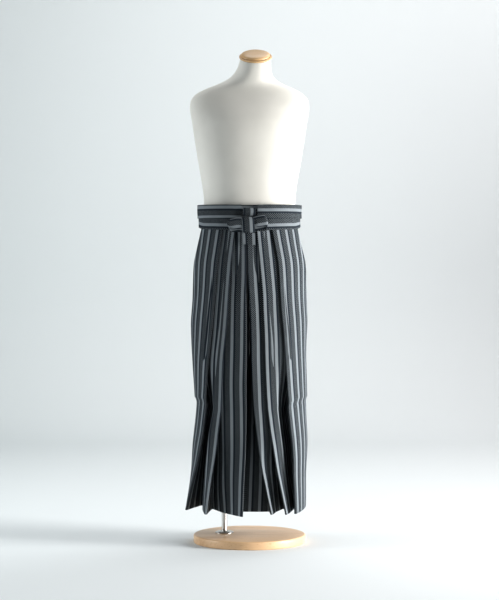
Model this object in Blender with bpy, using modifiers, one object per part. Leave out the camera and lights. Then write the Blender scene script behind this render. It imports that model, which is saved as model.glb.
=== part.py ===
"""Hakama: divided, pleated Japanese trousers, tied at the waist of a limbless dress form.

Metres, +Z up.  The origin is the middle of the underside of the stand's base disc, and the
garment's front faces -Y.  The cloth hangs empty: waist, side vents and both hems are open.
"""

import math

import bmesh
import bpy
import numpy as np

# Driving dimensions -------------------------------------------------------------------------
WAIST = 1.036            # height of the seam that joins the pleated panels to the waistband
VENT_FOOT = 0.715        # the side vents end here, and the side seams begin
CROTCH = 0.600           # the inner leg seams begin here
GUSSET_DROP = 0.012      # the gussets' tops lie this far below the crotch
CREASE = 0.450           # a crosswise storage crease; the pleats hang open below it
HEM = 0.117              # height of the hem at the side seams
HEM_RISE = 0.10          # the hem climbs this much per metre towards the back

CLOTH = 0.0016           # wall of the cloth
PITCH = 0.0032           # distance between the layers of a pressed pleat
HEM_SLACK = 0.003        # a fold is this much rounder at the hem than where it is pressed
SEAM_GAP = 0.0003        # between pieces that are sewn or rest together
TIE_WIDTH = 0.042        # the ties and the waistband are equally wide
TIE_CLOTH = 0.0018       # a tie is a strip folded and sewn flat
BAND_CLOTH = 0.0024      # the waistband holds one more layer
BAND_END = 0.1935        # turn of the waist, from the front, at which the waistband ends
BOARD_CLOTH = 0.0040     # the covered back board
BOARD_TOP = 1.112        # its top edge
KNOT_FACE = -0.1310      # Y of the front of the ties, on which the knot lies

BASE_RADIUS = 0.180
BASE_HEIGHT = 0.026
POLE_PLACE = (-0.081, 0.020)
POLE_RADIUS = 0.009
FORM_FOOT = 0.800        # underside of the torso form
CAP_PLACE = (0.0195, -0.030, 1.5556)
CAP_TILT = math.radians(28.0)

FOLD_STEPS = 3           # straight runs round a fold
RUN_STEPS = 3            # straight runs between two folds
TIED = 0.995             # the ties hold the panels straight down to here; then they flare
LEVELS = (WAIST, TIED, 0.94, 0.87, 0.80, VENT_FOOT, CROTCH, 0.52, CREASE, 0.36, 0.27, 0.18, HEM)

# Depth below the front of the pressed cloth at which each kind of fold lies.
EDGE = 0.5 * PITCH
VALLEY = 1.5 * PITCH
UNDER = 2.0 * PITCH

# The pressed front and back of the garment, seen from above: at each height half a
# superellipse, as (height, half width, depth, exponent).
FRONT = (
    (WAIST, 0.160, 0.1225, 2.2),
    (TIED, 0.161, 0.1225, 2.2),
    (0.90, 0.182, 0.1360, 2.4),
    (VENT_FOOT, 0.194, 0.1510, 2.8),
    (CROTCH, 0.195, 0.1560, 3.0),
    (CREASE, 0.190, 0.1580, 3.0),
    (HEM, 0.235, 0.1580, 3.0),
)
BACK = (
    (WAIST, 0.160, 0.1180, 2.2),
    (TIED, 0.161, 0.1190, 2.2),
    (0.90, 0.182, 0.1340, 2.4),
    (VENT_FOOT, 0.194, 0.1400, 2.8),
    (CROTCH, 0.195, 0.1400, 3.0),
    (CREASE, 0.190, 0.1400, 3.0),
    (HEM, 0.225, 0.1460, 3.0),
)


# Small helpers ------------------------------------------------------------------------------
def clear_scene():
    """Empty the scene of objects."""
    for thing in list(bpy.data.objects):
        bpy.data.objects.remove(thing, do_unlink=True)


def paint(name, colour, roughness, metallic=0.0):
    """A plain Principled material."""
    material = bpy.data.materials.new(name)
    material.use_nodes = True
    shader = material.node_tree.nodes["Principled BSDF"]
    shader.inputs["Base Color"].default_value = (*colour, 1.0)
    shader.inputs["Roughness"].default_value = roughness
    shader.inputs["Metallic"].default_value = metallic
    return material


def add_part(name, bm, material):
    """Turn a bmesh into a named object of the part's collection."""
    bmesh.ops.recalc_face_normals(bm, faces=bm.faces)
    mesh = bpy.data.meshes.new(name)
    bm.to_mesh(mesh)
    bm.free()
    part = bpy.data.objects.new(name, mesh)
    part.data.materials.append(material)
    bpy.data.collections["hakama_on_form"].objects.link(part)
    return part


def thicken(part, thickness):
    """Give an open surface its wall, half to each side."""
    wall = part.modifiers.new("wall", "SOLIDIFY")
    wall.thickness = thickness
    wall.offset = 0.0
    wall.use_even_offset = True


def sheet(rows):
    """A grid surface through equally long rows of points."""
    bm = bmesh.new()
    columns = len(rows[0])
    bmesh.ops.create_grid(bm, x_segments=columns - 1, y_segments=len(rows) - 1, size=1.0)
    bm.verts.ensure_lookup_table()
    for number, vert in enumerate(bm.verts):
        vert.co = rows[number // columns][number % columns]
    return bm


def read(rows, height):
    """The values of a list of rows at a height, in straight lines between them."""
    heights = [-row[0] for row in rows]
    return [float(np.interp(-height, heights, column)) for column in list(zip(*rows))[1:]]


def pressed_depth(profile, height, out):
    """How far the pressed cloth stands forward (or back) at a distance out from the middle."""
    half, depth, power = read(profile, height)
    share = min(abs(out) / half, 0.98)
    return depth * (1.0 - share ** power) ** (1.0 / power)


# Pleated panels -----------------------------------------------------------------------------
# A panel is worked out in the flat of each level: `out` runs from the middle of the body to
# the leg's own side and `fore` runs from the middle to the panel's face.
class Line:
    """One fold, bend or edge of a panel, followed from the waist down to the hem."""

    def __init__(self, kind, rows, profile=None):
        self.kind = kind            # "fold", "bend" or "end"
        self.rows = rows            # (height, out, depth below the pressed face or fore)
        self.profile = profile

    def at(self, height):
        out, last = read(self.rows, height)
        if self.profile:
            last = pressed_depth(self.profile, height, out) - last
        return np.array((out, last))


def unit(vector):
    return vector / (np.linalg.norm(vector) + 1e-12)


def square_to(vector):
    """The direction square to a vector that points away from the inside of the garment."""
    turned = np.array((-vector[1], vector[0]))
    return turned if turned.sum() > 0 else -turned


def fold_arc(before, tip, after, width):
    """Half a circle of cloth round the tip of a fold."""
    inward = unit(unit(before - tip) + unit(after - tip))
    across = square_to(inward)
    centre = tip + inward * width / 2
    arc = []
    for step in range(FOLD_STEPS + 1):
        angle = math.pi * (step / FOLD_STEPS - 0.5)
        arc.append(centre + width / 2 * (across * math.sin(angle) - inward * math.cos(angle)))
    return arc


def run(start, end, curl):
    """The points between two folds, bowed outwards by a constant curl."""
    chord = end - start
    bow = square_to(unit(chord)) * curl * float(chord @ chord) / 8
    shares = [step / RUN_STEPS for step in range(1, RUN_STEPS)]
    return [start + chord * share + bow * 4 * share * (1 - share) for share in shares]


def section(lines, height, curls):
    """The cut through a panel at one height, from its inner edge to its side edge."""
    tips = [line.at(height) for line in lines]
    width = PITCH + HEM_SLACK * max(0.0, (CREASE - height) / (CREASE - HEM))
    groups = []
    for number, line in enumerate(lines):
        if line.kind == "fold":
            groups.append(fold_arc(tips[number - 1], tips[number], tips[number + 1], width))
        else:
            groups.append([tips[number]])
    points = list(groups[0])
    for number in range(1, len(groups)):
        curl = read(curls, height)[0 if number < len(groups) - 1 else 1]
        points += run(groups[number - 1][-1], groups[number][0], curl)
        points += groups[number]
    return points


def panel(name, lines, side, face, curls, material):
    """Loft a panel; side is -1 or 1 along X, face is -1 for the front and 1 for the back."""
    rows = []
    for height in LEVELS:
        row = []
        for out, fore in section(lines, height, curls):
            depth = face * fore
            level = height if height > HEM else HEM + HEM_RISE * depth
            row.append((side * out, depth, level))
        rows.append(row)
    part = add_part(name, sheet(rows), material)
    thicken(part, CLOTH)
    return part


FRONT_CURLS = ((WAIST, 4.6, 7.0), (0.90, 3.0, 7.0), (CROTCH, 1.6, 7.0), (HEM, 1.6, 4.0))
BACK_CURLS = ((WAIST, 4.6, 7.0), (0.90, 4.0, 7.0), (CROTCH, 2.0, 7.0), (HEM, 2.0, 5.0))


def front_lines_right():
    """The wearer's right front: three strips whose fold edges face the centre."""
    return [
        Line("end", ((WAIST, 0.0008, 0.1161), (TIED, 0.0008, 0.1161), (0.90, 0.0008, 0.1290),
                     (0.80, 0.0008, 0.112),
                     (CROTCH, 0.0012, 0.012), (CREASE, 0.012, 0.050), (0.27, 0.028, 0.080),
                     (HEM, 0.037, 0.094))),
        Line("fold", ((WAIST, 0.040, VALLEY), (0.90, 0.045, VALLEY), (CROTCH, 0.050, 0.014),
                      (CREASE, 0.054, 0.026), (HEM, 0.066, 0.046)), FRONT),
        Line("fold", ((WAIST, 0.0120, EDGE), (CROTCH, 0.0090, EDGE), (CREASE, 0.0095, EDGE),
                      (0.27, 0.0130, EDGE), (HEM, 0.0220, 0.002)), FRONT),
        Line("bend", ((WAIST, 0.040, UNDER), (CROTCH, 0.077, UNDER), (CREASE, 0.082, UNDER),
                      (0.36, 0.080, 0.008), (0.27, 0.080, 0.022), (HEM, 0.088, 0.058)), FRONT),
        Line("fold", ((WAIST, 0.062, VALLEY), (CROTCH, 0.105, VALLEY), (CREASE, 0.108, 0.010),
                      (0.36, 0.106, 0.040), (0.27, 0.110, 0.065), (HEM, 0.118, 0.098)), FRONT),
        Line("fold", ((WAIST, 0.044, EDGE), (0.90, 0.060, EDGE), (CROTCH, 0.081, EDGE),
                      (CREASE, 0.088, EDGE), (0.27, 0.111, 0.004), (HEM, 0.138, 0.020)), FRONT),
        Line("bend", ((WAIST, 0.074, UNDER), (0.90, 0.095, UNDER), (CROTCH, 0.122, UNDER),
                      (CREASE, 0.110, 0.009), (0.36, 0.127, 0.012), (0.27, 0.136, 0.024),
                      (HEM, 0.149, 0.078)), FRONT),
        Line("fold", ((WAIST, 0.100, VALLEY), (CROTCH, 0.146, VALLEY), (CREASE, 0.128, 0.070),
                      (0.36, 0.135, 0.090), (0.27, 0.142, 0.110), (HEM, 0.151, 0.140)), FRONT),
        Line("fold", ((WAIST, 0.078, EDGE), (0.90, 0.099, EDGE), (CROTCH, 0.126, EDGE),
                      (CREASE, 0.138, EDGE), (0.36, 0.145, 0.004), (0.27, 0.163, 0.016),
                      (HEM, 0.201, 0.049)), FRONT),
        Line("end", ((WAIST, 0.146, 0.053), (0.90, 0.178, 0.035), (VENT_FOOT, 0.188, 0.000),
                     (CROTCH, 0.182, 0.000), (CREASE, 0.170, 0.000), (0.27, 0.181, -0.010),
                     (HEM, 0.192, -0.022))),
    ]


def front_lines_left():
    """The wearer's left front: its first fold tucks in under the right one at the top."""
    return [
        Line("end", ((WAIST, 0.0008, 0.1161), (TIED, 0.0008, 0.1161), (0.90, 0.0008, 0.1290),
                     (0.80, 0.0008, 0.112),
                     (CROTCH, 0.0012, 0.012), (CREASE, -0.008, 0.048), (0.27, -0.020, 0.076),
                     (HEM, -0.030, 0.088))),
        Line("fold", ((WAIST, 0.024, VALLEY), (0.90, 0.030, VALLEY), (CROTCH, 0.036, 0.014),
                      (CREASE, 0.041, 0.034), (0.27, 0.050, 0.056), (HEM, 0.062, 0.070)), FRONT),
        Line("fold", ((WAIST, -0.0085, EDGE), (0.90, -0.0070, EDGE), (0.757, 0.002, EDGE),
                      (CROTCH, 0.0065, EDGE), (CREASE, 0.0130, EDGE), (0.36, 0.0220, EDGE),
                      (0.27, 0.0340, 0.004), (HEM, 0.0690, 0.028)), FRONT),
        Line("bend", ((WAIST, 0.022, UNDER), (0.90, 0.031, UNDER), (CROTCH, 0.044, UNDER),
                      (CREASE, 0.050, UNDER), (0.36, 0.060, 0.010), (0.27, 0.068, 0.026),
                      (HEM, 0.083, 0.064)), FRONT),
        Line("fold", ((WAIST, 0.044, VALLEY), (CROTCH, 0.076, VALLEY), (CREASE, 0.082, 0.012),
                      (0.36, 0.086, 0.040), (0.27, 0.092, 0.066), (HEM, 0.108, 0.102)), FRONT),
        Line("fold", ((WAIST, 0.026, EDGE), (0.90, 0.035, EDGE), (0.757, 0.045, EDGE),
                      (CROTCH, 0.048, EDGE), (CREASE, 0.055, EDGE), (0.36, 0.066, EDGE),
                      (0.27, 0.081, 0.004), (HEM, 0.115, 0.022)), FRONT),
        Line("bend", ((WAIST, 0.061, UNDER), (0.90, 0.086, UNDER), (CROTCH, 0.100, UNDER),
                      (CREASE, 0.088, 0.008), (0.36, 0.099, 0.010), (0.27, 0.112, 0.026),
                      (HEM, 0.1325, 0.062)), FRONT),
        Line("fold", ((WAIST, 0.088, VALLEY), (CROTCH, 0.134, VALLEY), (CREASE, 0.110, 0.070),
                      (0.36, 0.118, 0.085), (0.27, 0.128, 0.095), (HEM, 0.1465, 0.100)), FRONT),
        Line("fold", ((WAIST, 0.065, EDGE), (0.90, 0.090, EDGE), (CROTCH, 0.113, EDGE),
                      (CREASE, 0.123, EDGE), (0.36, 0.130, EDGE), (0.27, 0.139, 0.004),
                      (HEM, 0.1447, 0.026)), FRONT),
        Line("end", ((WAIST, 0.146, 0.053), (0.90, 0.178, 0.035), (VENT_FOOT, 0.188, 0.000),
                     (CROTCH, 0.182, 0.000), (CREASE, 0.183, 0.000), (0.27, 0.184, -0.010),
                     (HEM, 0.182, -0.030))),
    ]


def back_lines(inner_hem, side_below):
    """A back: one deep pleat whose edge faces the centre seam, then two soft flutes.

    The inner seam reaches inner_hem at the hem; side_below is the side seam from CREASE down.
    """
    return [
        Line("end", ((WAIST, 0.0008, 0.1116), (TIED, 0.0008, 0.1130), (0.90, 0.0008, 0.1275),
                     (0.80, 0.0008, 0.105),
                     (CROTCH, 0.0012, 0.008), (CREASE, 0.003, 0.045), (HEM, inner_hem, 0.085))),
        Line("fold", ((WAIST, 0.046, VALLEY), (CROTCH, 0.056, 0.012), (CREASE, 0.060, 0.022),
                      (HEM, 0.074, 0.045)), BACK),
        Line("fold", ((WAIST, 0.006, EDGE), (CROTCH, 0.014, EDGE), (CREASE, 0.018, EDGE),
                      (HEM, 0.034, 0.004)), BACK),
        Line("bend", ((WAIST, 0.070, 0.002), (CROTCH, 0.080, 0.006), (CREASE, 0.082, 0.010),
                      (HEM, 0.096, 0.030)), BACK),
        Line("bend", ((WAIST, 0.090, 0.003), (CROTCH, 0.116, 0.002), (CREASE, 0.118, 0.000),
                      (HEM, 0.136, 0.004)), BACK),
        Line("end", ((WAIST, 0.128, 0.0780), (0.90, 0.176, 0.030), (VENT_FOOT, 0.188, 0.0007),
                     (CROTCH, 0.182, 0.0007)) + side_below),
    ]


def gusset(name, front_line, back_line, side, material):
    """The inner leg piece: from the crotch down to the hem, between front and back seams."""
    clear = CLOTH / 2 + 2 * SEAM_GAP
    rows = []
    for height in np.linspace(CROTCH - GUSSET_DROP, HEM, 9):
        front_out, front_fore = front_line.at(height)
        back_out, back_fore = back_line.at(height)
        start = np.array((side * (front_out + CLOTH / 2), clear - front_fore))
        end = np.array((side * (back_out + CLOTH / 2), back_fore - clear))
        row = []
        for share in np.linspace(0.0, 1.0, 9):
            x, y = start + (end - start) * share
            row.append((x, y, height if height > HEM else HEM + HEM_RISE * y))
        rows.append(row)
    part = add_part(name, sheet(rows), material)
    thicken(part, CLOTH)
    return part


# Waistband, ties and back board -------------------------------------------------------------
def waist_point(turn, offset):
    """A point of the waist loop; turn is 0 in front, 0.5 behind, and rises to the +X side."""
    angle = 2 * math.pi * turn
    sine, cosine = math.sin(angle), math.cos(angle)
    half, depth, exponent = (FRONT if cosine > 0 else BACK)[0][1:]
    x = math.copysign(abs(sine) ** (2 / exponent), sine) * (half + offset)
    y = -math.copysign(abs(cosine) ** (2 / exponent), cosine) * (depth + offset)
    return x, y


def waist_strip(name, stops, steps, thickness, material):
    """A flat strip round the waist through stops (turn, offset, lower edge, upper edge)."""
    turns = np.linspace(stops[0][0], stops[-1][0], steps + 1)
    columns = list(zip(*stops))
    rows = ([], [], [])
    for turn in turns:
        offset, low, high = (float(np.interp(turn, columns[0], c)) for c in columns[1:])
        x, y = waist_point(turn, offset)
        for row, level in zip(rows, (low, (low + high) / 2, high)):
            row.append((x, y, level))
    part = add_part(name, sheet(rows), material)
    thicken(part, thickness)
    return part


def strap(name, path, across, material, thickness=TIE_CLOTH):
    """A flat strip that follows path points, spread between the two ends of across."""
    rows = []
    for share in (0.0, 0.5, 1.0):
        shift = np.array(across[0]) * (1 - share) + np.array(across[1]) * share
        rows.append([tuple(np.array(point) + shift) for point in path])
    part = add_part(name, sheet(rows), material)
    thicken(part, thickness)
    return part


def hairpin(reach, inner, front, back, tip_radius):
    """A bow loop seen from above: out along the front, round the tip and back behind."""
    way = math.copysign(1.0, reach - inner)
    middle = (front + back) / 2
    half = (back - front) / 2
    points = [(inner, front + half * 0.35, 0.0), ((inner + reach) / 2, front, 0.0)]
    for step in range(7):
        angle = math.pi * (step / 6 - 0.5)
        points.append((reach - way * tip_radius * (1 - math.cos(angle)),
                       middle + half * math.sin(angle), 0.0))
    points += [((inner + reach) / 2, back, 0.0), (inner, back - half * 0.35, 0.0)]
    return points


def mirrored(stops):
    """The stops of a strip on the other side of the body."""
    return [(-turn, *rest) for turn, *rest in reversed(stops)]


def build_waist(cloth):
    """The front waistband, the two turns of its ties, the back board and the back ties."""
    band_low = WAIST + 2 * SEAM_GAP
    band_high = band_low + TIE_WIDTH
    waist_strip("front_waistband", (
        (-BAND_END, -0.0030, band_low, band_high),
        (BAND_END, -0.0030, band_low, band_high)), 20, BAND_CLOTH, cloth)
    tie_start = BAND_END + 2 * SEAM_GAP
    waist_strip("front_tie_upper_turn", (
        (tie_start, -0.0030, band_low, band_high),
        (0.40, -0.0060, band_low + 0.004, band_high + 0.004),
        (0.60, -0.0060, band_low + 0.004, band_high + 0.004),
        (1 - tie_start, -0.0030, band_low, band_high)), 28, TIE_CLOTH, cloth)
    half = [(turn, offset, low, low + TIE_WIDTH) for turn, offset, low in (
        (0.0, 0.0026, 0.997), (0.17, 0.0045, 1.004), (0.21, 0.0060, 1.010),
        (0.26, 0.0005, 1.022), (0.34, -0.0010, 1.040), (0.499, -0.0028, 1.046))]
    waist_strip("front_tie_lower_turn", mirrored(half[1:]) + half, 44, TIE_CLOTH, cloth)
    left = [(turn, offset, low, low + TIE_WIDTH) for turn, offset, low in (
        (0.020, 0.0056, 1.037), (0.17, 0.0078, 1.040), (0.22, 0.0085, 1.041),
        (0.30, 0.0040, 1.043), (0.345, 0.0060, 1.041), (0.370, 0.0086, 1.040),
        (0.400, 0.0086, 1.039))]
    waist_strip("back_tie_left", left, 24, TIE_CLOTH, cloth)
    waist_strip("back_tie_right", mirrored(left), 24, TIE_CLOTH, cloth)

    # The stiff board stands on the back panels' top edge, wider below than above.
    rows = []
    for level, half_turn in ((WAIST + 2 * SEAM_GAP, 0.123), (1.062, 0.110), (1.088, 0.096),
                             (BOARD_TOP, 0.084)):
        lean = 0.0026 + 0.004 * (level - WAIST) / (BOARD_TOP - WAIST)
        turns = np.linspace(0.5 - half_turn, 0.5 + half_turn, 13)
        rows.append([(*waist_point(turn, lean), level) for turn in turns])
    board = add_part("back_board", sheet(rows), cloth)
    thicken(board, BOARD_CLOTH)


def build_knot(cloth):
    """The cross knot: a strap down over the ties, a bow across, a wrap round it and a tail."""
    rise = [(-0.001, KNOT_FACE - 0.0012, 1.068), (-0.001, KNOT_FACE - 0.0030, 1.062),
            (-0.001, KNOT_FACE - 0.0038, 1.054), (-0.001, KNOT_FACE - 0.0030, 1.044)]
    strap("knot_upper", rise, ((-0.020, 0, 0), (0.020, 0, 0)), cloth, 0.0030)
    front, back = KNOT_FACE - 0.0105, KNOT_FACE - 0.0015
    left = hairpin(-0.068, -0.004, front, back, 0.0045)
    strap("bow_left_loop", left, ((0, 0, 0.995), (0, 0, 1.035)), cloth)
    right = hairpin(0.060, -0.001, front, back, 0.0045)
    strap("bow_right_loop", right, ((0, 0, 0.997), (0, 0, 1.037)), cloth)
    wrap = []
    for angle in np.radians(np.linspace(-100, 100, 9)):
        wrap.append((-0.004, KNOT_FACE - 0.0100 - 0.0080 * math.cos(angle),
                     1.0160 + 0.0250 * math.sin(angle)))
    strap("knot_wrap", wrap, ((-0.021, 0, 0), (0.021, 0, 0)), cloth, 0.0022)
    tail = [(-0.002, KNOT_FACE - 0.0010, 0.9880), (-0.002, KNOT_FACE - 0.0030, 0.978),
            (-0.003, KNOT_FACE - 0.0050, 0.965), (-0.003, KNOT_FACE - 0.0060, 0.953)]
    strap("tie_tail", tail, ((-0.021, 0, 0), (0.021, 0, 0)), cloth)


# Stand and dress form -----------------------------------------------------------------------
# Rings of the trunk form: (height, half width, depth in front, depth behind, middle X,
# middle Y, rise towards the back).  The top ring slopes like the neck cap that covers it.
FORM_RINGS = (
    (FORM_FOOT, 0.128, 0.088, 0.090, 0.0, 0.0, 0.0),
    (FORM_FOOT + 0.006, 0.144, 0.098, 0.101, 0.0, 0.0, 0.0),
    (0.832, 0.159, 0.108, 0.111, 0.0, 0.0, 0.0),
    (0.870, 0.166, 0.1145, 0.118, 0.0, 0.0, 0.0),
    (0.910, 0.166, 0.1165, 0.119, 0.0, 0.0, 0.0),
    (0.960, 0.156, 0.1125, 0.112, 0.0, 0.0, 0.0),
    (1.010, 0.149, 0.1110, 0.107, 0.0, 0.0, 0.0),
    (1.060, 0.146, 0.1105, 0.1035, 0.0, 0.0, 0.0),
    (1.110, 0.147, 0.1110, 0.103, 0.0, 0.0, 0.0),
    (1.160, 0.1540, 0.1140, 0.105, 0.0, 0.0, 0.0),
    (1.220, 0.1650, 0.1200, 0.110, 0.0, 0.0, 0.0),
    (1.290, 0.1760, 0.1240, 0.116, 0.0, 0.0, 0.0),
    (1.350, 0.1850, 0.1170, 0.119, 0.0, 0.0, 0.0),
    (1.395, 0.1930, 0.1000, 0.113, 0.0, 0.002, 0.0),
    (1.425, 0.1900, 0.0820, 0.100, 0.0, 0.003, 0.0),
    (1.445, 0.1730, 0.0700, 0.084, 0.0, 0.003, 0.03),
    (1.460, 0.1450, 0.0630, 0.072, 0.001, 0.001, 0.08),
    (1.473, 0.1100, 0.0580, 0.064, 0.003, -0.002, 0.15),
    (1.485, 0.0800, 0.0545, 0.058, 0.006, -0.007, 0.25),
    (1.500, 0.0630, 0.0510, 0.054, 0.010, -0.013, 0.35),
    (1.525, 0.0530, 0.0480, 0.050, 0.016, -0.022, 0.45),
    (CAP_PLACE[2] - SEAM_GAP, 0.0480, 0.0450, 0.045, CAP_PLACE[0], CAP_PLACE[1],
     math.tan(CAP_TILT)),
)
FORM_EXPONENT = 2.3      # how square the rings are


def ring_stack(name, rings, material, around=32):
    """A closed solid through level ovals (height, half width, front, back, x, y, tilt)."""
    rows = []
    for level, half, front, back, x, y, tilt in rings:
        row = []
        for step in range(around):
            angle = 2 * math.pi * step / around
            sine, cosine = math.sin(angle), math.cos(angle)
            power = 2 / FORM_EXPONENT
            across = math.copysign(abs(cosine) ** power, cosine) * half
            deep = math.copysign(abs(sine) ** power, sine) * (back if sine > 0 else front)
            row.append((x + across, y + deep, level + tilt * deep))
        rows.append(row)
    bm = bmesh.new()
    verts = [[bm.verts.new(point) for point in row] for row in rows]
    for low, high in zip(verts, verts[1:]):
        for step in range(around):
            after = (step + 1) % around
            bm.faces.new((low[step], low[after], high[after], high[step]))
    bm.faces.new(list(reversed(verts[0])))
    bm.faces.new(verts[-1])
    return add_part(name, bm, material)


def turned(name, profile, material, steps=48):
    """A turned solid from a profile of (radius, height) that starts and ends on the axis."""
    mesh = bpy.data.meshes.new(name)
    edges = [(number, number + 1) for number in range(len(profile) - 1)]
    mesh.from_pydata([(radius, 0.0, height) for radius, height in profile], edges, [])
    part = bpy.data.objects.new(name, mesh)
    part.data.materials.append(material)
    bpy.data.collections["hakama_on_form"].objects.link(part)
    screw = part.modifiers.new("turn", "SCREW")
    screw.axis = "Z"
    screw.steps = steps
    screw.render_steps = steps
    screw.use_merge_vertices = True
    screw.merge_threshold = 0.0001
    return part


def build_stand(wood, steel, cover, cap_wood):
    """Base disc, flange, pole and collar, the torso form and its turned neck cap."""
    turned("base_disc", [
        (0.0, BASE_HEIGHT), (BASE_RADIUS - 0.005, BASE_HEIGHT),
        (BASE_RADIUS - 0.0012, BASE_HEIGHT - 0.0015), (BASE_RADIUS, BASE_HEIGHT - 0.006),
        (BASE_RADIUS, 0.003), (BASE_RADIUS - 0.003, 0.0), (0.0, 0.0)], wood, 72)
    flange_foot = BASE_HEIGHT + SEAM_GAP
    flange_top = flange_foot + 0.007
    flange = turned("pole_flange", [
        (0.0, flange_top), (0.013, flange_top), (0.026, flange_top - 0.003),
        (0.030, flange_foot + 0.002), (0.030, flange_foot), (0.0, flange_foot)], steel, 40)
    flange.location = (*POLE_PLACE, 0.0)
    collar_top = FORM_FOOT - SEAM_GAP
    collar_foot = collar_top - 0.022
    collar = turned("pole_collar", [
        (0.0, collar_top), (0.017, collar_top), (0.017, collar_top - 0.003),
        (0.014, collar_foot + 0.002), (0.013, collar_foot), (0.0, collar_foot)], steel, 32)
    collar.location = (*POLE_PLACE, 0.0)
    pole_foot = flange_top + SEAM_GAP
    pole_top = collar_foot - SEAM_GAP
    pole = turned("pole", [
        (0.0, pole_top), (POLE_RADIUS, pole_top), (POLE_RADIUS, pole_foot),
        (0.0, pole_foot)], steel, 24)
    pole.location = (*POLE_PLACE, 0.0)

    ring_stack("form_torso", FORM_RINGS, cover)
    cap = turned("neck_cap", [
        (0.0, 0.0165), (0.025, 0.0160), (0.038, 0.0148), (0.0440, 0.0130), (0.0465, 0.0100),
        (0.0465, 0.0072), (0.0455, 0.0062), (0.0510, 0.0060), (0.0525, 0.0048),
        (0.0525, 0.0014), (0.0510, 0.0002), (0.0, 0.0002)], cap_wood, 56)
    cap.location = CAP_PLACE
    cap.rotation_euler = (CAP_TILT, 0.0, 0.0)


def build():
    """Make every piece."""
    clear_scene()
    collection = bpy.data.collections.new("hakama_on_form")
    bpy.context.scene.collection.children.link(collection)
    cloth = paint("striped_cloth", (0.035, 0.045, 0.052), 0.85)
    wood = paint("base_wood", (0.62, 0.44, 0.26), 0.45)
    cap_wood = paint("cap_wood", (0.60, 0.38, 0.18), 0.40)
    steel = paint("steel", (0.62, 0.60, 0.57), 0.28, 1.0)
    cover = paint("form_cover", (0.66, 0.64, 0.58), 0.75)

    right = front_lines_right()
    left = front_lines_left()
    back_right = back_lines(0.006, ((CREASE, 0.170, 0.0007), (0.27, 0.181, 0.0107),
                                    (HEM, 0.192, 0.0227)))
    back_left = back_lines(0.004, ((CREASE, 0.183, 0.0007), (0.27, 0.184, 0.0107),
                                   (HEM, 0.182, 0.0307)))
    panel("front_right", right, -1, -1, FRONT_CURLS, cloth)
    panel("front_left", left, 1, -1, FRONT_CURLS, cloth)
    panel("back_right", back_right, -1, 1, BACK_CURLS, cloth)
    panel("back_left", back_left, 1, 1, BACK_CURLS, cloth)
    gusset("gusset_right", right[0], back_right[0], -1, cloth)
    gusset("gusset_left", left[0], back_left[0], 1, cloth)
    build_waist(cloth)
    build_knot(cloth)
    build_stand(wood, steel, cover, cap_wood)


build()
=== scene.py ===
import math

import bmesh
import bpy
import numpy as np
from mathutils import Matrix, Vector


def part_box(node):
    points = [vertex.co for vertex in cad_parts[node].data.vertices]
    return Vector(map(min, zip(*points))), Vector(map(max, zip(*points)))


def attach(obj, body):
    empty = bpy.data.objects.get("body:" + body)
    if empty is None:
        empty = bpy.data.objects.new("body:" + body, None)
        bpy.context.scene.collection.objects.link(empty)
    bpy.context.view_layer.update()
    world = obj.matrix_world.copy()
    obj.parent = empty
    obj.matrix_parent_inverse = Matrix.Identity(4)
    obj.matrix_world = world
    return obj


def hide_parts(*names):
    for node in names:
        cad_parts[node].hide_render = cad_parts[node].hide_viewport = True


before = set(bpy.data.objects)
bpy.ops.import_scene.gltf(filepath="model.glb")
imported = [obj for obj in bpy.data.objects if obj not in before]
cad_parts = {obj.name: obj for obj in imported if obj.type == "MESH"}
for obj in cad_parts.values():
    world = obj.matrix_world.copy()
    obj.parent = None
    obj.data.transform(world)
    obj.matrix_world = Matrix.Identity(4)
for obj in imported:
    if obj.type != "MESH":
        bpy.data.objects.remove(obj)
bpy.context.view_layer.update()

# --------------------------------------------------------------------------------------------
# The studio.  A pale paper sweep runs out under the stand and curves up behind it.  A key light
# stands at the right and a weaker one at the left, each behind a grid; a small soft light
# stands in front, and two hang overhead, one for the wall and one for the floor.


def add_mesh(name, bm, material, smooth_below=40.0):
    """Make a finished mesh object of a bmesh, smooth except at edges sharper than the angle."""
    mesh = bpy.data.meshes.new(name)
    bm.to_mesh(mesh)
    bm.free()
    mesh.materials.append(material)
    mesh.shade_smooth()
    mesh.set_sharp_from_angle(angle=math.radians(smooth_below))
    piece = bpy.data.objects.new(name, mesh)
    bpy.context.scene.collection.objects.link(piece)
    return piece


def new_material(name, roughness, specular=0.5):
    """A Principled material with its node tree and shader."""
    material = bpy.data.materials.new(name)
    material.use_nodes = True
    tree = material.node_tree
    shader = tree.nodes["Principled BSDF"]
    shader.inputs["Roughness"].default_value = roughness
    shader.inputs["Specular IOR Level"].default_value = specular
    return material, tree, shader


def link(tree, source, target):
    tree.links.new(source, target)


def ramp(tree, source, stops):
    """A colour ramp over a value, from (position, colour) stops."""
    node = tree.nodes.new("ShaderNodeValToRGB")
    band = node.color_ramp
    while len(band.elements) < len(stops):
        band.elements.new(0.5)
    for element, (position, colour) in zip(band.elements, stops):
        element.position = position
        element.color = (*colour, 1.0)
    link(tree, source, node.inputs["Fac"])
    return node.outputs["Color"]


PAINTED_LIGHT_REACH = 1.6         # the paper's painted light changes between this far left and this far right
SWEEP_HALF_WIDTH, SWEEP_HALF_LENGTH, SWEEP_MIDDLE = 9.0, 10.0, 1.0
SWEEP_BACK = 3.5         # where the floor starts to curve up
SWEEP_RADIUS = 0.9       # of that curve

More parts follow.
